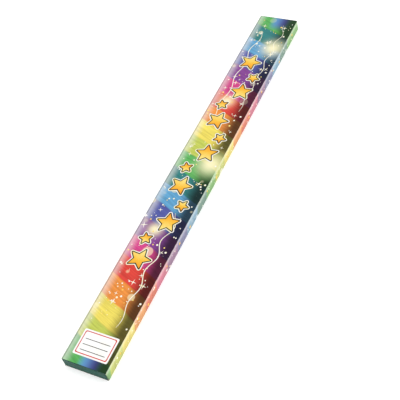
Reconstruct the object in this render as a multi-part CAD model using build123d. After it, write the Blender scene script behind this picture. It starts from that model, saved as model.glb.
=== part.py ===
"""Folding carton of sparklers: a tuck-end board sleeve around one layer of dipped wire sticks.

X runs across the carton, Y along it and Z up. The origin is under its middle, on the table.
The handle end is at -Y and the tip end at +Y. All sizes are in millimetres.
"""
from build123d import *
import os
from math import asin, cos, degrees, radians, sin, sqrt, tan

# Sparkler sticks
stick_count = 6
stick_length = 457.2
wire_diameter = 3.0
wire_edge_break = 0.3
coat_diameter = 7.0
coat_length = 330.0
coat_past_wire = 3.0
tip_crown = 4.5
dip_count = 3
dip_setback = 3.0
dip_slope_length = 1.2

# Room for the sticks inside the carton
stick_gap = 0.5
side_gap = 0.5
seat_gap = 0.3
head_room = 4.2
end_play = 3.0
end_gap = 1.5

# Board and its long creases
board = 0.5
crease_radius = 0.8
crease_half_turn = 45.0
hinge_gap = 0.05

# Glue flap inside the lower left edge
glue_flap_width = 7.5
glue_flap_bevel = 4.0
glue_flap_end_gap = 1.0

# Tuck tab at the foot of each end closure
tab_length = 7.0
tab_lift = 0.4
tab_side_gap = 2.0
tab_corner_radius = 4.0
tab_fold_up = 15.0

# Dust flaps folded in behind each end closure
flap_gap = 0.3
dust_length = 11.0
dust_upper_slope = 14.8
dust_floor_gap = 0.3
dust_top_gap = 0.4
dust_tab_gap = 0.7
dust_shoulder_gap = 0.15
dust_corner_radius = 1.5

# Stick rows and the carton wrapped around them
wire_radius = wire_diameter / 2
coat_radius = coat_diameter / 2
stick_pitch = coat_diameter + stick_gap
inner_width = stick_count * coat_diameter + (stick_count - 1) * stick_gap + 2 * side_gap
carton_width = inner_width + 2 * board
carton_height = 2 * board + seat_gap + coat_diameter + head_room

# End closure hinges: the tab leans so far that its tip swings no lower than its own crease
closure_axis_z = carton_height - board / 2
tab_axis_z = board + tab_lift + board / 2
closure_drop = closure_axis_z - tab_axis_z
tab_angle = asin(tab_length / (2 * closure_drop))
tab_reach = board / 2 + tab_length * cos(tab_angle) + board / 2 * sin(tab_angle)
tab_half_width = inner_width / 2 - tab_side_gap
tab_steepest = tab_angle + radians(tab_fold_up)
carton_length = stick_length + 2 * (tab_reach + end_gap + end_play)
closure_axis_y = carton_length / 2 - board / 2

# Dust flap hinges and outline heights
dust_axis_x = carton_width / 2 - board / 2
dust_axis_y = carton_length / 2 - board - flap_gap - board / 2
dust_inner_y = dust_axis_y - board / 2
tab_top_at_dust = (
    tab_axis_z + (closure_axis_y - dust_inner_y) * tan(tab_angle) + board / 2 / cos(tab_angle)
)
dust_low = tab_top_at_dust + dust_tab_gap
dust_root_low = 2 * board + dust_floor_gap
dust_root_high = carton_height - board - dust_top_gap
dust_free_high = dust_root_high - dust_length * tan(radians(dust_upper_slope))
dust_shoulder = dust_axis_x - tab_half_width - dust_shoulder_gap

# Half lengths of the sleeve panels
top_half_length = carton_length / 2 - board - hinge_gap
bottom_half_length = carton_length / 2
side_half_length = dust_inner_y - hinge_gap
glue_half_length = carton_length / 2 - tab_reach - glue_flap_end_gap
glue_edge_x = -carton_width / 2 + board + glue_flap_width

# Centres of the long creases, as (x, z)
crease_x = carton_width / 2 - crease_radius
upper_crease_z = carton_height - crease_radius
lower_crease_z = crease_radius
seam_crease_z = board + crease_radius


def half_crease(x, z, start_angle):
    """Section of half a long crease: an eighth of a ring that starts at start_angle degrees."""
    inner_radius = crease_radius - board
    outer = CenterArc((x, z), crease_radius, start_angle, crease_half_turn)
    inner = CenterArc((x, z), inner_radius, start_angle, crease_half_turn)
    return make_face([outer, Line(outer @ 1, inner @ 1), inner, Line(inner @ 0, outer @ 0)])


def flat_strip(x_low, z_low, x_high, z_high):
    """Section of a flat stretch of board between two corners."""
    size = (x_high - x_low, z_high - z_low)
    return Pos((x_low + x_high) / 2, (z_low + z_high) / 2) * Rectangle(*size)


def along_carton(section, half_length):
    """Panel made by running a section along the carton, the same way from its middle to both ends."""
    return extrude(Plane.XZ * section, amount=half_length, both=True)


def top_panel():
    """Top of the sleeve, with half of each upper crease."""
    section = flat_strip(-crease_x, carton_height - board, crease_x, carton_height)
    section += half_crease(crease_x, upper_crease_z, 90 - crease_half_turn)
    section += half_crease(-crease_x, upper_crease_z, 90)
    return along_carton(section, top_half_length)


def bottom_panel():
    """Floor of the sleeve: creased on the right, a cut edge at the seam on the left."""
    section = flat_strip(-carton_width / 2, 0, crease_x, board)
    section += half_crease(crease_x, lower_crease_z, 270)
    return along_carton(section, bottom_half_length)


def right_side_panel():
    """Right wall of the sleeve, between the upper and the lower crease."""
    section = flat_strip(carton_width / 2 - board, lower_crease_z, carton_width / 2, upper_crease_z)
    section += half_crease(crease_x, upper_crease_z, 0)
    section += half_crease(crease_x, lower_crease_z, 360 - crease_half_turn)
    return along_carton(section, side_half_length)


def left_side_panel():
    """Left wall of the sleeve, between the upper crease and the crease of the glue flap."""
    section = flat_strip(-carton_width / 2, seam_crease_z, board - carton_width / 2, upper_crease_z)
    section += half_crease(-crease_x, upper_crease_z, 180 - crease_half_turn)
    section += half_crease(-crease_x, seam_crease_z, 180)
    return along_carton(section, side_half_length)


def glue_flap():
    """Flap that lies glued on the floor inside the seam, with both ends cut back at a slant."""
    section = flat_strip(-crease_x, board, glue_edge_x, 2 * board)
    section += half_crease(-crease_x, seam_crease_z, 270 - crease_half_turn)
    slanted_plan = Polygon(
        (-carton_width / 2, -glue_half_length),
        (glue_edge_x, glue_flap_bevel - glue_half_length),
        (glue_edge_x, glue_half_length - glue_flap_bevel),
        (-carton_width / 2, glue_half_length),
        align=None,
    )
    slanted_block = extrude(slanted_plan, amount=carton_height)
    return along_carton(section, glue_half_length) & slanted_block


def end_closure():
    """Closure of the tip end: a plate hung from a round crease on the top panel's edge."""
    outer_foot = tab_axis_z + board / 2 + hinge_gap
    inner_foot = tab_axis_z + board / 2 * (1 + sin(tab_steepest)) / cos(tab_steepest) + hinge_gap
    plate = Polygon(
        (carton_length / 2, outer_foot),
        (carton_length / 2, closure_axis_z),
        (carton_length / 2 - board, closure_axis_z),
        (carton_length / 2 - board, inner_foot),
        align=None,
    )
    crease = Pos(closure_axis_y, closure_axis_z) * Circle(board / 2)
    return extrude(Plane.YZ * (plate + crease), amount=crease_x, both=True)


def tuck_tab():
    """Tab of the tip end closure: a plate with round corners, tucked in at a slant over the floor."""
    outline = Pos(0, -tab_length / 2) * Rectangle(2 * tab_half_width, tab_length)
    outline = fillet(outline.vertices().group_by(Axis.Y)[0], tab_corner_radius)
    plate = extrude(outline, amount=board / 2, both=True)
    crease = Rot(Y=90) * Cylinder(board / 2, 2 * tab_half_width)
    return Pos(0, closure_axis_y, tab_axis_z) * Rot(X=-degrees(tab_angle)) * (plate + crease)


def dust_flap():
    """Right dust flap of the tip end: a tapered plate on a round upright crease."""
    outline = Polygon(
        (0, dust_root_low),
        (-dust_shoulder, dust_low),
        (-dust_length, dust_low),
        (-dust_length, dust_free_high),
        (0, dust_root_high),
        align=None,
    )
    outline = fillet(outline.vertices().group_by(Axis.X)[0], dust_corner_radius)
    plate = extrude(Plane.XZ * outline, amount=board / 2, both=True)
    root_height = dust_root_high - dust_root_low
    crease = Pos(0, 0, dust_root_low + root_height / 2) * Cylinder(board / 2, root_height)
    return Pos(dust_axis_x, dust_axis_y, 0) * (plate + crease)


def seat_height(x):
    """Height of a stick's axis when its coat lies on the floor, or on the glue flap beside it."""
    reach = coat_radius + seat_gap
    past_edge = max(x - glue_edge_x, 0)
    on_floor = board + reach
    if past_edge >= reach:
        return on_floor
    return max(on_floor, 2 * board + sqrt(reach**2 - past_edge**2))


def stick_wire():
    """Bare wire along +Y from the handle's end, with both cut edges broken."""
    wire_length = stick_length - coat_past_wire
    wire = Rot(X=-90) * Cylinder(wire_radius, wire_length, align=(Align.CENTER, Align.CENTER, Align.MIN))
    return chamfer(wire.edges().filter_by(GeomType.CIRCLE), wire_edge_break)


def stick_coating():
    """Dipped coat: stepped dip lines at the handle side, a drip-shaped tip over the wire's end."""
    start = stick_length - coat_length
    wire_end = stick_length - coat_past_wire
    dip_thickness = (coat_radius - wire_radius) / dip_count
    crown_start = stick_length - tip_crown
    steps = [(wire_radius, start)]
    for dip in range(dip_count):
        foot = start + dip * dip_setback
        radius = wire_radius + (dip + 1) * dip_thickness
        if dip > 0:
            steps.append((radius - dip_thickness, foot))
        steps.append((radius, foot + dip_slope_length))
    side = Polyline(*steps, (coat_radius, crown_start))
    crown = Spline((coat_radius, crown_start), (0, stick_length), tangents=[(0, 1), (-1, 0)])
    bore = Polyline(
        (0, stick_length),
        (0, wire_end),
        (wire_radius - wire_edge_break, wire_end),
        (wire_radius, wire_end - wire_edge_break),
        (wire_radius, start),
    )
    return revolve(make_face([side, crown, bore]), axis=Axis.Y)


def place_stick(piece, index):
    """Piece of one stick, laid in its row from the left and centred between the two ends."""
    x = (index - (stick_count - 1) / 2) * stick_pitch
    return Pos(x, -stick_length / 2, seat_height(x)) * piece


def build_parts():
    """All the pieces of the carton and the sticks, by node name."""
    pieces = {
        "top_panel": top_panel(),
        "bottom_panel": bottom_panel(),
        "right_side_panel": right_side_panel(),
        "left_side_panel": left_side_panel(),
        "glue_flap": glue_flap(),
    }
    end_pieces = {
        "closure": end_closure(),
        "tuck_tab": tuck_tab(),
        "right_dust_flap": dust_flap(),
        "left_dust_flap": mirror(dust_flap(), about=Plane.YZ),
    }
    for name, piece in end_pieces.items():
        pieces["tip_end_" + name] = piece
        pieces["handle_end_" + name] = mirror(piece, about=Plane.XZ)
    wire = stick_wire()
    coating = stick_coating()
    for index in range(stick_count):
        name = f"sparkler_{index + 1}"
        pieces[name + "_wire"] = place_stick(wire, index)
        pieces[name + "_coating"] = place_stick(coating, index)
    return pieces


os.makedirs("parts", exist_ok=True)
for node, shape in build_parts().items():
    export_step(shape, f"parts/{node}.step")
print(f"carton {carton_length:.3f} x {carton_width:.3f} x {carton_height:.3f} mm")
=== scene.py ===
"""Looks of a carton of sparklers: printed board outside, bare board inside and dipped sticks.

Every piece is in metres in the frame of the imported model: X across, Y along the carton, Z up.
"""
import random
import bmesh
import bpy
from math import asin, atan2, ceil, cos, dist, pi, radians, sin, sqrt
from mathutils import Matrix, Vector, noise


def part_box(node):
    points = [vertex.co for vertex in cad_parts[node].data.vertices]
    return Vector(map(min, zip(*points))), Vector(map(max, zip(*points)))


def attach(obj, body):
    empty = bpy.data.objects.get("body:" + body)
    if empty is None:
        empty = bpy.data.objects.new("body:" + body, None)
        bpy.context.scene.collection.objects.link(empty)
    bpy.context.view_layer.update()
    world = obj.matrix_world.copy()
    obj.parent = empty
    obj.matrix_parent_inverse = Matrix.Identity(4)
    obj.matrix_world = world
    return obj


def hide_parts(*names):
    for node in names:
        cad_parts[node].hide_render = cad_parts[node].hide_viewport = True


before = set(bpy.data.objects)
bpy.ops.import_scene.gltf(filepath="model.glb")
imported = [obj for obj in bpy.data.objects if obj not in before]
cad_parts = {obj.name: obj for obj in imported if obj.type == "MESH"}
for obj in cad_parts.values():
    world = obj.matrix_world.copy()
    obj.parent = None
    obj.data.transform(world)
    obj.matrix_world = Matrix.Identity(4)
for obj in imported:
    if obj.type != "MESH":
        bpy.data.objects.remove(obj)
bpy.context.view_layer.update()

MM = 0.001
PER_MM = 1000.0

# Sizes of the carton, read from the frame
HALF_WIDTH = -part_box("bottom_panel")[0].x
HALF_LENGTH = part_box("bottom_panel")[1].y
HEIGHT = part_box("top_panel")[1].z
HEIGHT_MM = HEIGHT * PER_MM
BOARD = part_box("tip_end_closure")[1].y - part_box("tip_end_closure")[0].y
TOP_HALF_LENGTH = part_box("top_panel")[1].y
SIDE_HALF_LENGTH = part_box("right_side_panel")[1].y

# Long creases: each panel takes half of a crease's quarter turn
HALF_TURN = 45.0
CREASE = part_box("right_side_panel")[0].z / (1 - sin(radians(HALF_TURN)))
CREASE_X = HALF_WIDTH - CREASE
UPPER_Z = HEIGHT - CREASE
SEAM_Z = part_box("left_side_panel")[0].z + CREASE * sin(radians(HALF_TURN))
CREASE_STEPS = 6

# Hands of the two upright panels, and directions that a panel can face, in degrees
HANDS = {"right": 1, "left": -1}
FACING_RIGHT = 0.0
FACING_UP = 90.0
FACING_LEFT = 180.0
FACING_DOWN = 270.0

# Glue flap inside the seam
GLUE_EDGE_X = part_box("glue_flap")[1].x
GLUE_HALF_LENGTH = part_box("glue_flap")[1].y
GLUE_BEVEL = 4.0 * MM

# End closures and tuck tabs
CLOSURE_Y = HALF_LENGTH - BOARD / 2
CLOSURE_Z = HEIGHT - BOARD / 2
CLOSURE_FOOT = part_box("tip_end_closure")[0].z
FOOT_SLANT = 0.24 * MM
TAB_HALF_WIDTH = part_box("tip_end_tuck_tab")[1].x
TAB_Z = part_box("tip_end_tuck_tab")[0].z + BOARD / 2
TAB_LENGTH = 7.0 * MM
TAB_CORNER = 4.0 * MM
TAB_ANGLE = asin(TAB_LENGTH / (2 * (CLOSURE_Z - TAB_Z)))

# Dust flaps
DUST_X = HALF_WIDTH - BOARD / 2
DUST_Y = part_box("tip_end_right_dust_flap")[1].y - BOARD / 2
DUST_LENGTH = DUST_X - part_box("tip_end_right_dust_flap")[0].x
DUST_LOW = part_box("tip_end_right_dust_flap")[0].z
DUST_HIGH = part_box("tip_end_right_dust_flap")[1].z
DUST_NOTCH = 1.25 * MM
DUST_SHOULDER = 2.1 * MM
DUST_FREE_DROP = 2.9 * MM
DUST_CORNER = 1.5 * MM
DUST_CORNER_DROP = 0.75
DUST_POINT = 0.1 * MM

# How far the board swells out of flat, and the long waves in it
TOP_CROWN = 0.22 * MM
SIDE_CROWN = 0.10 * MM
FLOOR_CROWN = -0.12 * MM
WAVE_HEIGHT = 0.05 * MM
WAVE_LENGTHS = (0.173, 0.071)
WAVE_PHASE = 1.0
END_TAPER = 6
STATION_STEP = 5.0 * MM
ACROSS_STEP = 1.5 * MM
SHARP_ANGLE = 28.0

# Map that a long panel's finish is baked on: strips of its printed side, then the rest
BAKE_STRIPS = 3
BAKE_GAP = 0.004
BAKE_FRONT = 0.78
BAKE_BACK = (0.79, 0.89)
BAKE_RIMS = ((0.90, 0.92), (0.93, 0.95))
BAKE_ENDS = ((0.96, 0.97), (0.98, 0.99))

# Print that runs on round a flap's crease, as a length, with shares of it or of the flap's reach
BLEED = 2.6 * MM
BLEED_MIDDLE = 0.45
BLEED_MOST = 0.9
EDGE_STOP = 0.95

# First angle of a flap's round crease in degrees, and steps of round stretches
ROOT_START = 8.0
ROOT_STEPS = 6
CORNER_STEPS = 8

# Sparkler sticks
STICKS = 6
COAT_SIDES = 36
COAT_ROW = 1.0 * MM
DIP_ROW = 0.25 * MM
DIPS = 3
DIP_SETBACK = 3.0 * MM
DIP_SLOPE = 1.2 * MM
TIP_CROWN = 4.5 * MM
WIRE_RADIUS = 1.5 * MM
LUMP_HEIGHT = 0.10 * MM
LUMP_SIZE = 5.0 * MM
GRAIN_HEIGHT = 0.11 * MM
GRAIN_SIZE = 1.1 * MM

# Layers of the decorations, in millimetres over the board
PRINT_FOOT = -0.06
SPOT_LAYER = 0.04
SPARKLE_LAYER = 0.05
STREAMER_LAYER = 0.06
HALO_LAYER = 0.09
OUTLINE_LAYER = 0.14
GOLD_LAYER = 0.19
TAG_LAYERS = (0.06, 0.11, 0.16, 0.21)

# Stars on the top, in millimetres and degrees
BIG_STARS = 7
STAR_FIRST_Y = -122.0
STAR_PITCH = 47.0
BIG_STAR = 11.5
SMALL_STAR = 6.5
STAR_SWAY = 4.0
SMALL_STAR_SWAY = 8.8
STAR_TURN = 11.0
SMALL_STAR_TURN = 22.0
STAR_POINTS = 5
STAR_WAIST = 0.46
STAR_OUTLINE = 1.1
STAR_HALO = 2.1
TIP_STEPS = 4
STAR_RIDGE = 0.35
STAR_BULK = 0.85
PLAIN_RAMP = 0.5
CENTRE_RAMP = 0.6

# Tiny stars on the sides, in millimetres; one in each cycle is smaller
SIDE_STARS = 15
SIDE_STAR = 2.1
SIDE_STAR_CYCLE = 3
SIDE_STAR_LESS = 0.7
SIDE_STAR_REACH = 215.0
SIDE_STAR_PHASE = 2.3
SIDE_STAR_SHIFT = 7.0
SIDE_STAR_SWAY = 2.4
SIDE_STAR_RIDGE = 0.1

# Streamers in millimetres, each as middle x, start y, end y, sway, wave length and width
STREAMERS = (
    (10.0, -196.0, -62.0, 3.6, 36.0, 1.0),
    (-10.5, 58.0, 214.0, 3.0, 44.0, 0.9),
    (13.0, 84.0, 228.0, 2.6, 30.0, 0.7),
)
STREAMER_STEP = 1.5
STREAMER_THIN = 0.25
STREAMER_CALM = 0.4

# Confetti and sparkles in millimetres; a field is half its width, then its limits along the carton
CONFETTI = 150
CONFETTI_FIELD = (20.5, (-196.0, 234.0))
CONFETTI_INKS = ("streamer", "streamer", "spot")
CONFETTI_SEED = 41
SIDE_CONFETTI = 60
SIDE_HALVES = (230.0, 4.2)
SPOT_RADII = (0.45, 0.6, 0.8, 1.1)
SPOT_SIDES = (4, 12)
SPARKLES = 36
SPARKLE_FIELD = (18.5, (-190.0, 230.0))
SPARKLE_RADIUS = (1.8, 4.2)
SPARKLE_TURN = 20.0
SPARKLE_POINTS = 4
SPARKLE_WAIST = 0.17

# Gift tag, in millimetres
TAG_CENTRE = (1.4, -218.3)
TAG_SIZE = (36.0, 26.0)
TAG_CORNER = 1.5
TAG_LINE_INSET = 1.6
TAG_LINE = 0.9
TAG_CLEARANCE = (-204.0, -196.0)
TAG_RULES = 3
TAG_RULE_PITCH = 5.6
TAG_RULE_FIRST = -7.4
TAG_RULE_HALF = 13.0
TAG_RULE = 0.6
TAG_STEP = 0.1

# Colours of the print, as red, green and blue out of 255
INK = {
    "teal": (52, 128, 128),
    "green": (92, 176, 92),
    "lime": (196, 206, 92),
    "yellow": (240, 222, 100),
    "orange": (238, 146, 66),
    "red": (222, 68, 58),
    "pink": (212, 72, 138),
    "purple": (134, 70, 148),
    "blue": (84, 92, 166),
    "sky": (98, 164, 206),
    "white": (252, 250, 244),
    "cream": (255, 246, 200),
    "paper": (255, 255, 255),
    "pine": (4, 62, 44),
    "gold": (252, 196, 66),
    "straw": (255, 240, 150),
    "amber": (244, 146, 30),
    "umber": (62, 44, 30),
    "scarlet": (204, 44, 46),
}

# Kinds of noise, as detail and roughness, and the limits of most of its values
NOISE_KINDS = {
    "plain": (2.0, 0.5),
    "cloudy": (3.0, 0.5),
    "grainy": (3.0, 0.6),
    "gritty": (3.0, 0.7),
    "mixed": (4.0, 0.6),
    "fibrous": (4.0, 0.65),
    "ragged": (4.0, 0.7),
}
NOISE_LIMITS = (0.3, 0.7)

# Numbers of the colour sockets on a mix node
MIX_FIRST = 6
MIX_SECOND = 7
MIX_RESULT = 2

# Rainbow bands of the prints, in millimetres
RAINBOW = ("green", "lime", "yellow", "orange", "red", "pink", "purple", "blue", "sky", "teal")
BANDS = 21
BAND_SLANT = 0.42
BAND_WOBBLE = 5.0
BAND_EDGE = (0.45, 0.55)
BAND_MARGIN = 10.0
STREAK_STRETCH = 0.06

# Soft strips of the prints and of painted shade and highlight, as where each starts and ends in
# millimetres, and its values there
PALE_STRIP = (-12.0, -23.0, 0.0, 0.46)
DEEP_STRIP = (0.0, 18.0, 1.0, 0.12)
# Painted shade: a thin darker strip along the top's left crease, where the fold turns from the light
LEFT_CREASE_SHADE = (-21.2, -21.9, 1.0, 0.6)
BLUE_BLEND = (-8.0, 12.0)
# Painted highlight: each upright side paler just under its upper crease
SIDE_CREASE_HIGHLIGHT = (5.0, 1.0, 0.0, 0.3)
# Painted shade: each upright side darker towards its foot, as light from above would leave it
SIDE_SHADE = (0.76, 0.96)
SIDE_TINT = 0.2

# Blue patches and glows of the top in millimetres; a glow is its place across, along and its reach
BLUE_PATCH = (5.0, 238.0)
BLUE_PATCH_HALF = (14.0, 22.0)
BLUE_PATCH_FADE = 3.0
GLOWS = ((12.0, 188.0, 28.0), (-6.0, 96.0, 20.0), (14.0, 6.0, 30.0), (-5.0, -86.0, 18.0))
GLOW_CORE = 2.2
GLOW_LIGHT = 0.95

# Scattered discs and glints: their shape in cell sizes, then cell size and share shown
DISC = {"radii": (0.12, 0.36), "soft": 0.05, "lights": (0.12, 0.5)}
GLINT = {"radii": (0.15, 0.6), "soft": 0.12, "lights": (1.0, 1.0), "exponent": 0.5}
TOP_DISCS = (17.0, 0.7)
TOP_GLINTS = (7.0, 0.45)
SIDE_DISCS = (12.0, 0.5)
SIDE_GLINTS = (6.0, 0.3)

# Whitened ink in millimetres from the creases, and the weight of the varnish's gloss
WEAR_BAND = (0.7, 0.1)
END_WEAR_BAND = 0.6
GLOSS = 0.04

# Plain papers: name, light tone, dark tone, cloud size, relief and roughness
PAPERS = {
    "board": ("grey_board", (0.58, 0.55, 0.49), (0.46, 0.43, 0.38), 5.0, 0.05, 0.92),
    "edge": ("cut_edge", (0.72, 0.69, 0.62), (0.50, 0.47, 0.41), 0.7, 0.08, 0.95),
    # Painted shade: cut edges at the closures made dark green-grey, where they stand in gaps
    "shaded_edge": ("painted_shade_edge", (0.10, 0.14, 0.12), (0.05, 0.08, 0.07), 0.7, 0.08, 0.95),
    "coated": ("coated_board", (0.86, 0.85, 0.82), (0.78, 0.77, 0.74), 8.0, 0.02, 0.6),
}

# Inks of the decorations: first ink, second ink, mottle size and, where it differs, gloss
INK_LAYERS = {
    "halo": ("white", "cream", 6.0),
    "outline": ("umber", "pine", 4.0),
    "streamer": ("white", "cream", 3.0),
    "spot": ("straw", "gold", 3.0),
    "tag": ("paper", "white", 9.0, 0.0),
    "tag_line": ("scarlet", "red", 2.0),
}

# Linear tones of the sticks and of the floor
COAT_TONES = [(0.035, 0.034, 0.034), (0.10, 0.098, 0.095)]
FILING_TONE = (0.62, 0.6, 0.56)
WIRE_TONES = [(0.20, 0.19, 0.18), (0.46, 0.45, 0.44)]
RUST_TONE = (0.16, 0.075, 0.035)
FLOOR_TONES = [(0.95, 0.95, 0.95), (0.97, 0.97, 0.97)]

# Floor and light; a lamp is its place, size and power
FLOOR_HALF = 4.0
FLOOR_GLOW = 0.3
WHITE_LIGHT = (1.0, 1.0, 1.0)
LAMPS = {
    "key_light": ((1.0, 0.7, 1.7), 1.6, 3.0),
    "side_light": ((1.7, -0.5, 0.9), 1.2, 0.5),
}

# Camera fitted to the photograph
CAMERA_AZIMUTH = 36.58
CAMERA_ELEVATION = 49.78
CAMERA_ROLL = -15.69
CAMERA_DISTANCE = 0.8362
CAMERA_RIGHT = -0.00342
CAMERA_UP = 0.03083
LENS = 72.73


def linear(name):
    """Linear colour of a named ink, by the curve of the sRGB standard."""
    parts = [part / 255 for part in INK[name]]
    return tuple(p / 12.92 if p <= 0.04045 else ((p + 0.055) / 1.055) ** 2.4 for p in parts)


class Graph:
    """Short calls that build one material out of linked nodes, with places in millimetres."""

    def __init__(self, name):
        self.material = bpy.data.materials.new(name)
        self.material.use_nodes = True
        self.tree = self.material.node_tree
        self.shader = self.tree.nodes["Principled BSDF"]
        place = self.add("ShaderNodeTexCoord").outputs["Object"]
        self.place = self.vector("SCALE", {0: place, "Scale": PER_MM})
        self.x, self.y, self.z = self.add("ShaderNodeSeparateXYZ", {0: self.place}).outputs

    def add(self, kind, inputs=(), **settings):
        """New node of a kind with its settings, and its inputs by number or name."""
        node = self.tree.nodes.new(kind)
        for key, value in settings.items():
            setattr(node, key, value)
        for key, value in dict(inputs).items():
            self.feed(node.inputs[key], value)
        return node

    def feed(self, socket, value):
        """Links a socket to an output, or sets its plain value."""
        if isinstance(value, bpy.types.NodeSocket):
            self.tree.links.new(value, socket)
        elif socket.type == "RGBA":
            socket.default_value = (*value, 1.0)
        else:
            socket.default_value = value

    def set(self, **values):
        """Sets or links inputs of the shader by their names, with _ for a space."""
        for key, value in values.items():
            self.feed(self.shader.inputs[key.replace("_", " ")], value)

    def math(self, operation, first, second=0.0):
        """Result of a sum on one or two values."""
        return self.add("ShaderNodeMath", {0: first, 1: second}, operation=operation).outputs[0]

    def plus(self, first, second):
        return self.math("ADD", first, second)

    def minus(self, first, second):
        return self.math("SUBTRACT", first, second)

    def times(self, first, second):
        return self.math("MULTIPLY", first, second)

    def vector(self, operation, inputs, output="Vector"):
        """Result of a sum on places."""
        return self.add("ShaderNodeVectorMath", inputs, operation=operation).outputs[output]

    def stretch(self, place, x=1.0, y=1.0):
        """Place scaled across or along, which draws out a pattern on it."""
        return self.vector("MULTIPLY", {0: place, 1: (x, y, 1.0)})

    def join(self, x, y, z=0.0):
        """Place made of its three parts."""
        return self.add("ShaderNodeCombineXYZ", {0: x, 1: y, 2: z}).outputs[0]

    def span(self, value, start, end, low=0.0, high=1.0, smooth=True):
        """A value taken from its range start to end onto low to high."""
        kind = "SMOOTHSTEP" if smooth else "LINEAR"
        inputs = enumerate((value, start, end, low, high))
        return self.add("ShaderNodeMapRange", inputs, interpolation_type=kind).outputs[0]

    def mix(self, share, first, second, blend="MIX"):
        """Two colours blended by a share."""
        inputs = {"Factor": share, MIX_FIRST: first, MIX_SECOND: second}
        node = self.add("ShaderNodeMix", inputs, data_type="RGBA", blend_type=blend)
        return node.outputs[MIX_RESULT]

    def tint(self, colour, share, ink):
        """A colour with a share of a named ink over it."""
        return self.mix(share, colour, linear(ink))

    def dim(self, colour, light):
        """A colour times a grey light."""
        return self.mix(1.0, colour, self.join(light, light, light), "MULTIPLY")

    def ramp(self, share, colours):
        """A band of evenly spaced colours."""
        node = self.add("ShaderNodeValToRGB", {0: share})
        stops = node.color_ramp.elements
        while len(stops) < len(colours):
            stops.new(1.0)
        for index, colour in enumerate(colours):
            stops[index].position = index / (len(colours) - 1)
            stops[index].color = (*colour, 1.0)
        return node.outputs[0]

    def noise(self, kind, size, place=None):
        """Noise around 0.5 whose spots are about size millimetres."""
        detail, roughness = NOISE_KINDS[kind]
        inputs = {"Vector": place or self.place, "Scale": 1.0 / size}
        inputs.update(Detail=detail, Roughness=roughness)
        return self.add("ShaderNodeTexNoise", inputs).outputs["Fac"]

    def blotch(self, kind, size, low=0.0, high=1.0, limits=NOISE_LIMITS, place=None):
        """Noise whose values between two limits are spread from low to high."""
        return self.span(self.noise(kind, size, place), *limits, low, high)

    def cells(self, size, exponent=None, place=None):
        """Distance to the nearest of scattered spots, and the parts of its random colour."""
        inputs = {"Vector": place or self.place, "Scale": 1.0 / size}
        node = self.add("ShaderNodeTexVoronoi", inputs)
        if exponent:
            node.distance = "MINKOWSKI"
            node.inputs["Exponent"].default_value = exponent
        parts = self.add("ShaderNodeSeparateColor", {0: node.outputs["Color"]})
        return node.outputs["Distance"], parts.outputs

    def bump(self, height, depth, strength=1.0):
        """Bump of a height field that stands depth millimetres high."""
        inputs = {"Strength": strength, "Distance": depth * MM, "Height": height}
        self.set(Normal=self.add("ShaderNodeBump", inputs).outputs[0])


def rainbow(graph, across, along):
    """Slanted rainbow bands with fine streaks in their own direction."""
    wobble = graph.noise("plain", size=30.0, place=graph.join(across, along))
    slanted = graph.plus(along, graph.times(across, BAND_SLANT))
    slanted = graph.plus(slanted, graph.times(wobble, BAND_WOBBLE))
    half = HALF_LENGTH * PER_MM - BAND_MARGIN
    last = BANDS - 1.0
    count = graph.span(slanted, -half, half, 0.0, last, smooth=False)
    edge = graph.span(graph.math("FRACT", count), *BAND_EDGE)
    stepped = graph.plus(graph.math("FLOOR", count), edge)
    inks = [linear(RAINBOW[band % len(RAINBOW)]) for band in range(BANDS)]
    colour = graph.ramp(graph.math("DIVIDE", stepped, last), inks)
    drawn = graph.join(slanted, graph.times(across, STREAK_STRETCH))
    return graph.dim(colour, graph.blotch("mixed", size=2.4, low=0.82, high=1.14, place=drawn))


def scatter(graph, sheet, size, share, radii, soft, lights, exponent=None):
    """Light of round or pointed spots scattered over the sheet, of which a share is shown."""
    distance, own = graph.cells(size, exponent, sheet)
    radius = graph.span(own[0], 0.0, 1.0, *radii, smooth=False)
    inside = graph.span(graph.minus(radius, distance), 0.0, soft)
    shown = graph.math("GREATER_THAN", own[1], 1.0 - share)
    light = graph.span(own[2], 0.0, 1.0, *lights, smooth=False)
    return graph.times(graph.times(inside, shown), light)


def glow_light(graph, sheet):
    """Light of the soft round glows on the top, strongest in their middles."""
    light = 0.0
    for x, y, reach in GLOWS:
        distance = graph.vector("DISTANCE", {0: sheet, 1: (x, y, 0.0)}, "Value")
        light = graph.math("MAXIMUM", graph.span(distance, reach, 0.0), light)
    return light


def blue_patch(graph, across, along):
    """Share of the soft blue field at both ends of the top."""
    wide = graph.math("ABSOLUTE", graph.minus(across, BLUE_PATCH[0]))
    far = graph.minus(BLUE_PATCH[1], graph.math("ABSOLUTE", along))
    places = zip((wide, far), BLUE_PATCH_HALF)
    return graph.times(*[graph.span(place, half, half / BLUE_PATCH_FADE) for place, half in places])


def crease_wear(graph, place, middle, half):
    """Share of whitened ink along the two creases that lie half a panel from its middle."""
    edge = graph.math("ABSOLUTE", graph.minus(place, middle * PER_MM))
    near = graph.span(graph.minus(half * PER_MM, edge), *WEAR_BAND)
    return graph.times(near, graph.blotch("ragged", size=3.0, high=0.5, limits=(0.4, 0.75)))


def varnished(graph, colour, gloss=GLOSS, specular=0.1):
    """Finished material of a colour on fine-grained board under a thin gloss."""
    graph.set(Base_Color=colour, Roughness=graph.blotch("cloudy", size=9.0, low=0.30, high=0.44))
    graph.set(Specular_IOR_Level=specular, Coat_Weight=gloss, Coat_Roughness=0.18)
    graph.bump(graph.noise("grainy", size=0.8), depth=0.02, strength=0.5)
    return graph.material


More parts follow.
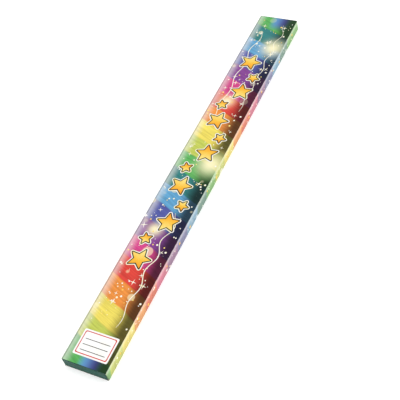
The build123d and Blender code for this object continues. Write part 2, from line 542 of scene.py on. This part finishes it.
def top_print():
    """Print of the top panel, pale along the left edge and deep along the right, with painted shade at the
    left crease.
    """
    graph = Graph("top_print")
    across, along = graph.x, graph.y
    sheet = graph.join(across, along)
    blues = graph.ramp(graph.span(across, *BLUE_BLEND), [linear("sky"), linear("blue")])
    colour = graph.mix(blue_patch(graph, across, along), rainbow(graph, across, along), blues)
    colour = graph.tint(colour, graph.span(across, *PALE_STRIP), "white")
    # The print deepens towards the right edge; the thin strip along the left crease is painted shade
    shade = graph.times(graph.span(across, *DEEP_STRIP), graph.span(across, *LEFT_CREASE_SHADE))
    glow = glow_light(graph, sheet)
    colour = graph.dim(colour, graph.math("MAXIMUM", shade, glow))
    core = graph.times(graph.math("POWER", glow, GLOW_CORE), GLOW_LIGHT)
    colour = graph.tint(colour, core, "cream")
    clear = graph.span(along, *TAG_CLEARANCE)
    discs = graph.times(scatter(graph, sheet, *TOP_DISCS, **DISC), clear)
    colour = graph.tint(colour, discs, "cream")
    sparks = graph.times(scatter(graph, sheet, *TOP_GLINTS, **GLINT), clear)
    colour = graph.tint(colour, sparks, "white")
    return varnished(graph, graph.tint(colour, crease_wear(graph, across, 0.0, HALF_WIDTH), "white"))


def side_print(side, hand):
    """Paler print of a right or left panel, by its hand, with painted shade and highlight; or of the
    bottom, with no hand.
    """
    graph = Graph(side + "_print")
    drop = graph.minus(HEIGHT_MM, graph.z)
    across = graph.plus(graph.x, graph.times(drop, hand))
    sheet = graph.join(across, graph.y)
    colour = graph.tint(rainbow(graph, across, graph.y), SIDE_TINT, "cream")
    wear = crease_wear(graph, graph.x, 0.0, HALF_WIDTH)
    if hand:
        wear = crease_wear(graph, graph.z, HEIGHT / 2, HEIGHT / 2)
        # Painted shade: darker towards the foot
        colour = graph.dim(colour, graph.span(graph.z, 0.0, HEIGHT_MM, *SIDE_SHADE))
        # Painted highlight: paler just under the upper crease
        colour = graph.tint(colour, graph.span(drop, *SIDE_CREASE_HIGHLIGHT), "white")
    colour = graph.tint(colour, scatter(graph, sheet, *SIDE_DISCS, **DISC), "white")
    colour = graph.tint(colour, scatter(graph, sheet, *SIDE_GLINTS, **GLINT), "white")
    return varnished(graph, graph.tint(colour, wear, "white"))


def end_print():
    """Dark green print of the end closures, a little worn along their upper crease."""
    graph = Graph("end_print")
    sheet = graph.join(graph.x, graph.plus(graph.y, graph.z))
    tone = graph.blotch("mixed", size=3.0, high=0.22, place=graph.stretch(sheet, x=0.2))
    colour = graph.tint(linear("pine"), tone, "teal")
    worn = graph.span(graph.z, HEIGHT_MM - END_WEAR_BAND, HEIGHT_MM, high=0.08)
    worn = graph.times(worn, graph.blotch("ragged", size=2.0, limits=(0.35, 0.7)))
    return varnished(graph, graph.tint(colour, worn, "white"), gloss=0.0, specular=0.05)


def plain_paper(name, light, dark, size, depth, roughness):
    """Unprinted board: two tones of fibre with dark flecks."""
    graph = Graph(name)
    colour = graph.ramp(graph.blotch("fibrous", size), [dark, light])
    drawn = graph.stretch(graph.place, y=0.25)
    fleck = graph.blotch("plain", size=0.5, high=0.35, limits=(0.68, 0.76), place=drawn)
    colour = graph.tint(colour, fleck, "umber")
    graph.set(Base_Color=colour, Roughness=roughness, Specular_IOR_Level=0.25)
    graph.bump(graph.noise("ragged", size=0.6), depth)
    return graph.material


def ink_layer(name, ink, second, size, gloss=GLOSS):
    """One solid ink of a decoration, faintly mottled with a second one."""
    graph = Graph(name)
    mottle = graph.blotch("cloudy", size, limits=(0.35, 0.7))
    return varnished(graph, graph.tint(linear(ink), mottle, second), gloss)


def gold_foil():
    """Stamped gold that runs from amber to straw along each star, by the mesh's own ramp."""
    graph = Graph("gold_foil")
    ramp = graph.add("ShaderNodeAttribute", attribute_name="ramp").outputs["Fac"]
    grain = graph.blotch("cloudy", size=0.7, low=-0.08, high=0.08)
    inks = [linear("amber"), linear("gold"), linear("straw")]
    graph.set(Metallic=0.15)
    return varnished(graph, graph.ramp(graph.plus(ramp, grain), inks))


def coat_material():
    """Dipped sparkler mix: rough dark grey with bright metal filings."""
    graph = Graph("dipped_coat")
    colour = graph.ramp(graph.blotch("mixed", size=4.0), COAT_TONES)
    distance, own = graph.cells(size=0.7)
    near = graph.span(distance, start=0.3, end=0.15)
    filing = graph.times(near, graph.span(own[0], start=0.6, end=0.7))
    graph.set(Base_Color=graph.mix(filing, colour, FILING_TONE), Metallic=filing)
    graph.set(Roughness=graph.span(filing, 0.0, 1.0, low=0.85, high=0.35))
    graph.bump(graph.noise("gritty", size=0.45), depth=0.12)
    return graph.material


def wire_material():
    """Drawn steel: fine lines along the wire, with dull spots."""
    graph = Graph("drawn_wire")
    lines = graph.noise("grainy", size=0.2, place=graph.stretch(graph.place, y=0.02))
    colour = graph.ramp(graph.span(lines, *NOISE_LIMITS), WIRE_TONES)
    rust = graph.blotch("ragged", size=3.0, high=0.5, limits=(0.62, 0.75))
    graph.set(Base_Color=graph.mix(rust, colour, RUST_TONE), Metallic=1.0)
    graph.set(Roughness=graph.span(lines, *NOISE_LIMITS, low=0.28, high=0.5))
    graph.bump(lines, depth=0.015)
    return graph.material


def all_looks():
    """Every material by its short name."""
    looks = {
        "top": top_print(),
        "bottom": side_print("bottom", 0),
        "end": end_print(),
        "gold": gold_foil(),
        "coat": coat_material(),
        "wire": wire_material(),
    }
    looks.update({side: side_print(side, hand) for side, hand in HANDS.items()})
    looks.update({name: plain_paper(*paper) for name, paper in PAPERS.items()})
    looks.update({name: ink_layer(name + "_ink", *layer) for name, layer in INK_LAYERS.items()})
    return looks


LOOKS = all_looks()


def put(name, data):
    """New object in the scene."""
    thing = bpy.data.objects.new(name, data)
    bpy.context.scene.collection.objects.link(thing)
    return thing


def make_piece(name, body, slot, points, faces, paints, sides, node=None):
    """Closed mesh that rides on a body. sides has the look of each paint that a face can have."""
    mesh = bpy.data.meshes.new(name)
    mesh.from_pydata([tuple(point) for point in points], [], faces, shade_flat=False)
    for look in sides.values():
        mesh.materials.append(LOOKS[look])
    order = list(sides)
    mesh.polygons.foreach_set("material_index", [order.index(paint) for paint in paints])
    shape = bmesh.new()
    shape.from_mesh(mesh)
    bmesh.ops.recalc_face_normals(shape, faces=shape.faces)
    shape.to_mesh(mesh)
    shape.free()
    mesh.set_sharp_from_angle(angle=radians(SHARP_ANGLE))
    piece = put(name, mesh)
    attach(piece, body)
    if node:
        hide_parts(node)
    return piece


def slab(front, back):
    """Closed solid between two grids of points, with a (side, row, column) tag for each face."""
    rows = len(front)
    columns = len(front[0])
    points = [point for grid in (front, back) for line in grid for point in line]
    faces = []
    tags = []

    def add(tag, row, column, corners):
        faces.append([(side * rows + line) * columns + spot for side, line, spot in corners])
        tags.append((tag, row, column))

    for row in range(rows - 1):
        for column in range(columns - 1):
            ring = ((row, column), (row, column + 1), (row + 1, column + 1), (row + 1, column))
            for side, tag in enumerate(("front", "back")):
                add(tag, row, column, [(side, *corner) for corner in ring])
    for row in range(rows - 1):
        for column in (0, columns - 1):
            edge = ((0, row, column), (0, row + 1, column), (1, row + 1, column), (1, row, column))
            add("rim", row, column, edge)
    for column in range(columns - 1):
        for row in (0, rows - 1):
            edge = ((0, row, column), (0, row, column + 1), (1, row, column + 1), (1, row, column))
            add("end", row, column, edge)
    return points, faces, tags


def between(limits, share):
    """Value at a share of the way between two limits."""
    return limits[0] + (limits[1] - limits[0]) * share


def shares(count):
    """Even steps from 0 to 1."""
    return [step / count for step in range(count + 1)]


def steps_between(start, end, step):
    """Evenly spaced values from start to end, about step apart."""
    count = max(2, round(abs(end - start) / step))
    return [between((start, end), share) for share in shares(count)]


def polar(centre, reach, turn):
    """Place at a reach and an angle from a centre."""
    return centre[0] + reach * cos(turn), centre[1] + reach * sin(turn)


def arc(centre, radius, start, end):
    """Places round a corner, from one angle to another."""
    return [polar(centre, radius, between((start, end), share)) for share in shares(CORNER_STEPS)]


def heading(angle):
    """Direction at an angle in degrees."""
    return Vector((cos(radians(angle)), sin(radians(angle))))


def crease_points(centre, start, end):
    """Points round a crease: outer point, inner point, outward direction and no swell."""
    ways = [heading(between((start, end), share)) for share in shares(CREASE_STEPS)]
    return [(centre + way * CREASE, centre + way * (CREASE - BOARD), way, 0.0) for way in ways]


def flat_points(start, end, outward):
    """Points across a flat stretch of board, whose middle swells most."""
    points = []
    for share in steps_between(-1.0, 1.0, 2 * ACROSS_STEP / (end - start).length)[1:-1]:
        outer = start + (end - start) * (share + 1) / 2
        points.append((outer, outer - outward * BOARD, outward, 1 - share * share))
    return points


def section(facing, turn, first, last, cut=False):
    """Section of a long panel: half a crease about first, then half a crease or a cut edge at last."""
    out = heading(facing)
    head = crease_points(first, facing - turn, facing)
    start = first + out * CREASE
    if cut:
        return head + flat_points(start, last, out) + [(last, last - out * BOARD, out, 0.0)]
    return head + flat_points(start, last + out * CREASE, out) + crease_points(last, facing, facing + turn)


def swell(crown, half_length, y):
    """Height of the board's swell in the middle of a panel, along the carton."""
    waves = sum(sin(2 * pi * y / length + WAVE_PHASE) for length in WAVE_LENGTHS)
    return (crown + WAVE_HEIGHT * waves) * (1 - (abs(y) / half_length) ** END_TAPER)


def strip_map(piece, tags, outline, rows):
    """Bake map of a long panel: its printed side cut into strips, the rest laid small above them."""
    steps = [(after - point).length for point, after in zip(outline, outline[1:])]
    across = [sum(steps[:count]) / sum(steps) for count in range(len(outline))]
    strip_rows = ceil((rows - 1) / BAKE_STRIPS)
    layer = piece.data.uv_layers.new(name="OFBake")
    for polygon, (side, row, column) in zip(piece.data.polygons, tags):
        strip = row // strip_rows
        for loop in polygon.loop_indices:
            line, spot = divmod(piece.data.loops[loop].vertex_index, len(outline))
            depth, line = divmod(line, rows)
            if side == "front":
                low = strip * BAKE_FRONT / BAKE_STRIPS
                limits = (low + BAKE_GAP, low + BAKE_FRONT / BAKE_STRIPS - BAKE_GAP)
                place = ((line - strip * strip_rows) / strip_rows, between(limits, across[spot]))
            elif side == "back":
                place = (line / (rows - 1), between(BAKE_BACK, across[spot]))
            elif side == "rim":
                place = (line / (rows - 1), between(BAKE_RIMS[column > 0], depth))
            else:
                place = (across[spot], between(BAKE_ENDS[row > 0], depth))
            layer.uv[loop].vector = (between((BAKE_GAP, 1 - BAKE_GAP), place[0]), place[1])


def panel(name, node, outline, crown, half_length, looks, slot="printed_board", bevel=0.0):
    """Long panel: a section run along the carton. A bevel slants its ends back towards the right."""
    front = []
    back = []
    for y in steps_between(-half_length, half_length, STATION_STEP):
        front.append([])
        back.append([])
        for outer, inner, outward, weight in outline:
            shift = outward * weight * swell(crown, half_length, y)
            share = (outer.x + HALF_WIDTH) / (GLUE_EDGE_X + HALF_WIDTH)
            reach = 1 - share * bevel / half_length
            for line, point in ((front[-1], outer + shift), (back[-1], inner + shift)):
                line.append((point.x, y * reach, point.y))
    points, faces, tags = slab(front, back)
    sides = {"front": looks[0], "back": "board", "rim": "edge", "end": looks[1]}
    piece = make_piece(name, "sleeve", slot, points, faces, [tag[0] for tag in tags], sides, node)
    strip_map(piece, tags, [point[0] for point in outline], len(front))


def sleeve():
    """The five panels of the carton's sleeve."""
    upper_left = Vector((-CREASE_X, UPPER_Z))
    upper_right = Vector((CREASE_X, UPPER_Z))
    lower_right = Vector((CREASE_X, CREASE))
    seam = Vector((-CREASE_X, SEAM_Z))
    floor_edge = Vector((-HALF_WIDTH, 0.0))
    glue_edge = Vector((GLUE_EDGE_X, SEAM_Z - CREASE))
    top = section(FACING_UP, -HALF_TURN, upper_left, upper_right)
    right = section(FACING_RIGHT, -HALF_TURN, upper_right, lower_right)
    left = section(FACING_LEFT, HALF_TURN, upper_left, seam)
    bottom = section(FACING_DOWN, -HALF_TURN, lower_right, floor_edge, cut=True)
    glue = section(FACING_DOWN, HALF_TURN, seam, glue_edge, cut=True)
    panel("top_board", "top_panel", top, TOP_CROWN, TOP_HALF_LENGTH, ("top", "end"))
    for side, outline in (("right", right), ("left", left)):
        names = (side + "_board", side + "_side_panel")
        panel(*names, outline, SIDE_CROWN, SIDE_HALF_LENGTH, (side, side))
    # The bottom's cut ends, under the closures, get the dark edge of painted shade
    panel("bottom_board", "bottom_panel", bottom, FLOOR_CROWN, HALF_LENGTH, ("bottom", "shaded_edge"))
    bare = (("board", "edge"), "bare_board", GLUE_BEVEL)
    panel("glue_flap_board", "glue_flap", glue, 0.0, GLUE_HALF_LENGTH, *bare)


def flap_line(reach, slant):
    """Front and back points of one line across a flap, from its round crease to its free edge."""
    turns = [radians(between((ROOT_START, 90.0), share)) for share in shares(ROOT_STEPS)[:-1]]
    root = [(-BOARD / 2 * cos(turn), BOARD / 2 * sin(turn)) for turn in turns]
    bleed = (0.0, BLEED_MIDDLE * min(BLEED, reach), min(BLEED, BLEED_MOST * reach))
    stops = (*bleed, EDGE_STOP * reach, reach)
    lean = 1 - slant / max(reach, BOARD)
    front = root + [(stop, BOARD / 2) for stop in stops]
    back = [(along, -rise) for along, rise in root] + [(stop * lean, -BOARD / 2) for stop in stops]
    return front, back


def flap_paint(side, column):
    """Name of a flap's side at a column: its print goes round the crease and stops past it."""
    if side == "front":
        return "print" if column < ROOT_STEPS + 2 else "beyond"
    if side == "back":
        return "print" if column < ROOT_STEPS else "inside"
    return "rim"


def flap(name, stations, matrix, looks, slot="printed_board", slant=0.0):
    """Hinged board flap: stations of (place along the crease, reach), put in place by a matrix."""
    grids = [], []
    for place, reach in stations:
        for grid, line in zip(grids, flap_line(reach, slant)):
            grid.append([matrix @ Vector((place, along, rise)) for along, rise in line])
    points, faces, tags = slab(*grids)
    paints = [flap_paint(side, column) for side, _, column in tags]
    sides = dict(zip(("print", "inside", "rim", "beyond"), looks))
    make_piece(name + "_board", name, slot, points, faces, paints, sides, name)


def rounded_stations(half_width, reach, corner):
    """Stations of a flap that is symmetric about its middle, with two round free corners."""
    right = arc((half_width - corner, reach - corner), corner, pi / 2, 0.0)
    return [(-place, length) for place, length in reversed(right)] + right


def dust_stations():
    """Stations up a dust flap: notched foot, round free corners and a tapered head."""
    foot = DUST_LOW + DUST_NOTCH
    inset = DUST_LENGTH - DUST_CORNER
    head = DUST_HIGH - DUST_FREE_DROP - DUST_CORNER * DUST_CORNER_DROP
    stations = [(DUST_LOW, DUST_POINT), (foot - DUST_POINT, DUST_SHOULDER)]
    stations += arc((foot + DUST_CORNER, inset), DUST_CORNER, pi, pi / 2)
    stations += arc((head, inset), DUST_CORNER, pi / 2, atan2(DUST_FREE_DROP, DUST_LENGTH))
    return stations + [(DUST_HIGH, DUST_POINT)]


def axes(origin, across, along, front):
    """Matrix that takes flap coordinates (crease, reach, printed side) to the frame."""
    matrix = Matrix((across, along, front)).transposed().to_4x4()
    matrix.translation = Vector(origin)
    return matrix


def carton_end(end, sign):
    """Closure, tuck tab and two dust flaps of one end. sign is +1 at the tip end."""
    reach = CLOSURE_Z - CLOSURE_FOOT
    stations = [(x, reach) for x in steps_between(-CREASE_X, CREASE_X, 2 * ACROSS_STEP)]
    hang = axes((0.0, sign * CLOSURE_Y, CLOSURE_Z), (1, 0, 0), (0, 0, -1), (0, sign, 0))
    # The closure's cut edges get the dark edge of painted shade
    flap(end + "_closure", stations, hang, ("end", "board", "shaded_edge", "end"), slant=FOOT_SLANT)

    inward = (0.0, -sign * cos(TAB_ANGLE), sin(TAB_ANGLE))
    under = (0.0, -sign * sin(TAB_ANGLE), -cos(TAB_ANGLE))
    tuck = axes((0.0, sign * CLOSURE_Y, TAB_Z), (1, 0, 0), inward, under)
    stations = rounded_stations(TAB_HALF_WIDTH, TAB_LENGTH, TAB_CORNER)
    bare = ("board", "edge", "coated")
    flap(end + "_tuck_tab", stations, tuck, ("end", *bare))

    for side, hand in HANDS.items():
        fold = axes((hand * DUST_X, sign * DUST_Y, 0.0), (0, 0, 1), (-hand, 0, 0), (0, sign, 0))
        flap(f"{end}_{side}_dust_flap", dust_stations(), fold, (side, *bare), "bare_board")


def coat_radius(along, length, radius):
    """Radius of a dipped coat at a distance from its start: dip lines, body and drip tip."""
    step = (radius - WIRE_RADIUS) / DIPS
    reach = WIRE_RADIUS
    for dip in range(DIPS):
        share = min(max((along - dip * DIP_SETBACK) / DIP_SLOPE, 0.0), 1.0)
        reach += step * share * share * (3 - 2 * share)
    past = along - (length - TIP_CROWN)
    if past > 0:
        reach *= sqrt(max(1 - (past / TIP_CROWN) ** 2, 0.0))
    return reach


def coat_rows(length):
    """Distances along a coat, closer at its dip lines and at its tip."""
    crown = length - TIP_CROWN
    dips = steps_between(0.0, DIPS * DIP_SETBACK, DIP_ROW)
    body = steps_between(DIPS * DIP_SETBACK, crown, COAT_ROW)
    tip = [along for _, along in arc((0.0, crown), TIP_CROWN, 0.0, pi / 2)]
    return dips + body[1:] + tip[1:-1]


def rough(place):
    """Height of a coat's lumps and grains at a place."""
    lumps = noise.noise(place / LUMP_SIZE) * LUMP_HEIGHT
    return lumps + noise.noise(place / GRAIN_SIZE) * GRAIN_HEIGHT


def sparkler_coat(stick):
    """Granular dipped coat of one stick."""
    node = stick + "_coating"
    low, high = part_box(node)
    centre = (low + high) / 2
    radius = (high.x - low.x) / 2
    length = high.y - low.y
    points = [Vector((centre.x, low.y, centre.z))]
    for along in coat_rows(length):
        reach = coat_radius(along, length, radius)
        for side in range(COAT_SIDES):
            turn = 2 * pi * side / COAT_SIDES
            out = Vector((cos(turn), 0.0, sin(turn)))
            base = Vector((centre.x, low.y + along, centre.z)) + out * reach
            points.append(base + out * rough(base) * reach / radius)
    points.append(Vector((centre.x, high.y, centre.z)))
    faces = []
    last = len(points) - 1
    end = last - COAT_SIDES
    for side in range(COAT_SIDES):
        after = (side + 1) % COAT_SIDES
        faces.append((0, 1 + side, 1 + after))
        for first in range(1, end, COAT_SIDES):
            second = first + COAT_SIDES
            faces.append((first + side, first + after, second + after, second + side))
        faces.append((end + side, end + after, last))
    paints = ["coat"] * len(faces)
    make_piece(stick + "_coat", stick, "coating", points, faces, paints, {"coat": "coat"}, node)


def sticks():
    """Coats of all the sticks, and the finish of their wires."""
    for index in range(STICKS):
        stick = f"sparkler_{index + 1}"
        sparkler_coat(stick)
        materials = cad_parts[stick + "_wire"].data.materials
        materials.clear()
        materials.append(LOOKS["wire"])


def on_top(x, y, rise):
    """Point over the top panel's printed face, from millimetres."""
    share = x * MM / CREASE_X
    bulge = (1 - share * share) * swell(TOP_CROWN, TOP_HALF_LENGTH, y * MM)
    return Vector((x * MM, y * MM, HEIGHT + bulge + rise * MM))


def on_side(hand):
    """Makes the like of on_top for a long side: along it, up from its middle, and out of it."""
    foot = CREASE if hand > 0 else SEAM_Z
    middle = (UPPER_Z + foot) / 2
    half = (UPPER_Z - foot) / 2

    def place(along, up, rise):
        share = up * MM / half
        bulge = (1 - share * share) * swell(SIDE_CROWN, SIDE_HALF_LENGTH, along * MM)
        return Vector((hand * (HALF_WIDTH + bulge + rise * MM), along * MM, middle + up * MM))

    return place


class Print:
    """Decorations of one kind, gathered into a single piece of closed flat solids."""

    def __init__(self):
        self.place = on_top
        self.points = []
        self.faces = []
        self.paints = []
        self.ramps = []

    def add(self, points, faces, ink, ramps=None):
        """Adds one solid in one ink, with the place of each point on the ink's own ramp."""
        start = len(self.points)
        self.points += points
        self.faces += [[start + corner for corner in face] for face in faces]
        self.paints += [ink] * len(faces)
        self.ramps += ramps or [PLAIN_RAMP] * len(points)

    def add_sheet(self, rows, layer, ink):
        """Thin solid over a grid of places, sunk a little into the board under it."""
        rises = (layer, PRINT_FOOT)
        grids = [[[self.place(x, y, rise) for x, y in row] for row in rows] for rise in rises]
        points, faces, _ = slab(*grids)
        self.add(points, faces, ink)

    def add_plate(self, outline, centre, layer, ink, crown=0.0, ramps=None):
        """The same over an outline round its centre, which a crown can raise."""
        count = len(outline)
        points = [self.place(x, y, layer) for x, y in outline]
        points += [self.place(x, y, PRINT_FOOT) for x, y in outline]
        points += [self.place(*centre, layer + crown), self.place(*centre, PRINT_FOOT)]
        faces = []
        for index in range(count):
            after = (index + 1) % count
            faces.append((index, after, 2 * count))
            faces.append((count + after, count + index, 2 * count + 1))
            faces.append((index, count + index, count + after, after))
        self.add(points, faces, ink, ramps and ramps + ramps + [CENTRE_RAMP] * 2)

    def make(self, name, *inks):
        """Makes the piece out of all that was added, in the named inks."""
        solid = (self.points, self.faces, self.paints)
        piece = make_piece(name, "sleeve", "printed_board", *solid, dict(zip(inks, inks)))
        layer = piece.data.attributes.new("ramp", "FLOAT", "POINT")
        layer.data.foreach_set("value", self.ramps)


def corners_round(centre, reaches, start):
    """Evenly turned corners round a centre, each at its own reach."""
    step = 2 * pi / len(reaches)
    return [polar(centre, reach, start + step * index) for index, reach in enumerate(reaches)]


def star_face(centre, radius, turn):
    """Corners of a star, with the ramp of their heights from foot to head."""
    reaches = (radius, radius * STAR_WAIST) * STAR_POINTS
    outline = corners_round(centre, reaches, radians(90 + turn))
    return outline, [(1 + (y - centre[1]) / radius) / 2 for _, y in outline]


def star_border(centre, radius, turn, border):
    """Outline of a star grown by a border, with round tips."""
    half = pi / STAR_POINTS
    tip_angle = atan2(STAR_WAIST * sin(half), 1 - STAR_WAIST * cos(half))
    waist = radius * STAR_WAIST + border / sin(tip_angle + half)
    outline = []
    for arm in range(STAR_POINTS):
        angle = radians(90 + turn) + 2 * half * arm
        tip = polar(centre, radius, angle)
        for share in shares(TIP_STEPS):
            lean = (pi / 2 - tip_angle) * (2 * share - 1)
            outline.append(polar(tip, border, angle + lean))
        outline.append(polar(centre, waist, angle + half))
    return outline


def star_places():
    """Centre, radius and turn of each star on the top: big ones in a zigzag, small ones between."""
    places = []
    for index in range(BIG_STARS):
        hand = 1 if index % 2 else -1
        y = STAR_FIRST_Y + index * STAR_PITCH
        places.append(((hand * STAR_SWAY, y), BIG_STAR, hand * STAR_TURN))
        if index < BIG_STARS - 1:
            centre = (hand * SMALL_STAR_SWAY, y + STAR_PITCH / 2)
            places.append((centre, SMALL_STAR, -hand * SMALL_STAR_TURN))
    return places


def add_star(stars, centre, radius, turn):
    """One star: white halo, dark outline and raised gold face, palest at its head or at its foot."""
    face, ramps = star_face(centre, radius, turn)
    if turn > 0:
        ramps = [1 - ramp for ramp in ramps]
    stars.add_plate(star_border(centre, radius, turn, STAR_HALO), centre, HALO_LAYER, "halo")
    stars.add_plate(star_border(centre, radius, turn, STAR_OUTLINE), centre, OUTLINE_LAYER, "outline")
    stars.add_plate(face, centre, GOLD_LAYER, "gold", STAR_RIDGE, ramps)


def side_stars(stars):
    """Row of tiny plain stars along one side, at uneven heights."""
    pitch = 2 * SIDE_STAR_REACH / (SIDE_STARS - 1)
    for index in range(SIDE_STARS):
        swing = sin(SIDE_STAR_PHASE * index)
        centre = (index * pitch - SIDE_STAR_REACH + SIDE_STAR_SHIFT * swing, SIDE_STAR_SWAY * swing)
        radius = SIDE_STAR * (1.0 if index % SIDE_STAR_CYCLE else SIDE_STAR_LESS)
        face, ramps = star_face(centre, radius, STAR_TURN * swing)
        stars.add_plate(face, centre, HALO_LAYER, "gold", SIDE_STAR_RIDGE, ramps)


def gold_stars():
    """Stars along the top, and rows of tiny ones along the sides."""
    stars = Print()
    for star in star_places():
        add_star(stars, *star)
    for hand in HANDS.values():
        stars.place = on_side(hand)
        side_stars(stars)
    stars.make("gold_stars", "halo", "outline", "gold")


def streamers():
    """Thin paper streamers along the top, widest in their middle, that sway more and more."""
    ribbons = Print()
    for x, start, end, sway, wave, width in STREAMERS:
        rows = []
        for y in steps_between(start, end, STREAMER_STEP):
            share = (y - start) / (end - start)
            half = width / 2 * between((STREAMER_THIN, 1.0), sin(pi * share) ** 0.5)
            swing = sway * sin(2 * pi * (y - start) / wave)
            middle = x + swing * between((STREAMER_CALM, 1.0), share)
            rows.append([(middle - half, y), (middle + half, y)])
        ribbons.add_sheet(rows, STREAMER_LAYER, "streamer")
    ribbons.make("paper_streamers", "streamer")


def free_place(draw, stars, field, reach):
    """Drawn place on the top where a mark of some reach keeps off the stars."""
    half_width, limits = field
    while True:
        centre = (draw.uniform(-half_width, half_width), draw.uniform(*limits))
        rooms = [dist(centre, star) - radius * STAR_BULK for star, radius, _ in stars]
        if min(rooms) > STAR_HALO + reach:
            return centre


def add_spot(spots, draw, centre, ink):
    """One round or square spot of a drawn size and turn."""
    radius = draw.choice(SPOT_RADII)
    sides = draw.choice(SPOT_SIDES)
    outline = corners_round(centre, (radius,) * sides, draw.uniform(0.0, pi))
    spots.add_plate(outline, centre, SPOT_LAYER, ink)


def add_sparkle(spots, draw, centre):
    """One four-pointed sparkle of a drawn size and turn."""
    radius = draw.uniform(*SPARKLE_RADIUS)
    turn = draw.uniform(-SPARKLE_TURN, SPARKLE_TURN)
    reaches = (radius, radius * SPARKLE_WAIST) * SPARKLE_POINTS
    outline = corners_round(centre, reaches, radians(turn))
    spots.add_plate(outline, centre, SPARKLE_LAYER, "streamer")


def confetti():
    """Spots and sparkles of light ink, thrown over the top and the sides by a seeded draw."""
    draw = random.Random(CONFETTI_SEED)
    stars = star_places()
    spots = Print()
    for _ in range(CONFETTI):
        centre = free_place(draw, stars, CONFETTI_FIELD, max(SPOT_RADII))
        add_spot(spots, draw, centre, draw.choice(CONFETTI_INKS))
    for _ in range(SPARKLES):
        add_sparkle(spots, draw, free_place(draw, stars, SPARKLE_FIELD, max(SPARKLE_RADIUS)))
    for hand in HANDS.values():
        spots.place = on_side(hand)
        for _ in range(SIDE_CONFETTI):
            centre = tuple(draw.uniform(-half, half) for half in SIDE_HALVES)
            add_spot(spots, draw, centre, "streamer")
    spots.make("confetti_spots", "streamer", "spot")


def tag_row(half, y):
    """Row of places across the gift tag, at a height over its centre."""
    x_middle, y_middle = TAG_CENTRE
    return [(x_middle + share * half, y_middle + y) for share in steps_between(-1.0, 1.0, TAG_STEP)]


def tag_plate(inset):
    """Rows of places of the gift tag's rounded rectangle, drawn in by an inset."""
    half_x, half_y = (side / 2 - inset for side in TAG_SIZE)
    return [tag_row(reach, y) for y, reach in rounded_stations(half_y, half_x, TAG_CORNER)]


def gift_tag():
    """Blank white tag by the handle end, with a thin line round it and ruled lines to write on."""
    tag = Print()
    tag.add_sheet(tag_plate(0.0), TAG_LAYERS[0], "tag")
    tag.add_sheet(tag_plate(TAG_LINE_INSET), TAG_LAYERS[1], "tag_line")
    tag.add_sheet(tag_plate(TAG_LINE_INSET + TAG_LINE), TAG_LAYERS[2], "tag")
    for rule in range(TAG_RULES):
        middle = TAG_RULE_FIRST + rule * TAG_RULE_PITCH
        edges = (middle - TAG_RULE / 2, middle + TAG_RULE / 2)
        tag.add_sheet([tag_row(TAG_RULE_HALF, y) for y in edges], TAG_LAYERS[3], "outline")
    tag.make("gift_tag", "tag", "tag_line", "outline")


def studio_floor():
    """Wide pale floor under the carton, with a faint glow of its own that keeps it near white."""
    graph = Graph("studio_floor")
    tone = graph.blotch("cloudy", size=160.0)
    graph.set(Base_Color=graph.ramp(tone, FLOOR_TONES), Roughness=0.9, Specular_IOR_Level=0.1)
    graph.set(Emission_Color=WHITE_LIGHT, Emission_Strength=FLOOR_GLOW)
    mesh = bpy.data.meshes.new("studio_floor")
    ends = (-FLOOR_HALF, FLOOR_HALF)
    mesh.from_pydata([(x, y, 0.0) for x in ends for y in ends], [], [(0, 2, 3, 1)])
    mesh.materials.append(graph.material)
    floor = put("studio_floor", mesh)


def studio_light():
    """Soft light from a pale room, and round lamps that point at the carton."""
    world = bpy.data.worlds.new("studio_world")
    world.use_nodes = True
    world.node_tree.nodes["Background"].inputs["Color"].default_value = (*WHITE_LIGHT, 1.0)
    bpy.context.scene.world = world
    for name, (place, size, power) in LAMPS.items():
        data = bpy.data.lights.new(name, "AREA")
        data.shape = "DISK"
        data.size = size
        data.energy = power
        lamp = put(name, data)
        lamp.location = place
        lamp.rotation_euler = (-Vector(place)).to_track_quat("-Z", "Y").to_euler()
    bpy.context.scene.view_settings.view_transform = "Standard"


def photo_camera():
    """Camera at the photograph's place and angle."""
    data = bpy.data.cameras.new("photo_camera")
    data.lens = LENS
    camera = put("photo_camera", data)
    place = Matrix.Translation((0.0, 0.0, HEIGHT / 2))
    for angle, axis in ((CAMERA_AZIMUTH, "Z"), (90 - CAMERA_ELEVATION, "X"), (CAMERA_ROLL, "Z")):
        place @= Matrix.Rotation(radians(angle), 4, axis)
    camera.matrix_world = place @ Matrix.Translation((-CAMERA_RIGHT, -CAMERA_UP, CAMERA_DISTANCE))
    bpy.context.scene.camera = camera


sleeve()
for end, sign in (("tip_end", 1), ("handle_end", -1)):
    carton_end(end, sign)
sticks()
gold_stars()
streamers()
confetti()
gift_tag()
studio_floor()
studio_light()
photo_camera()
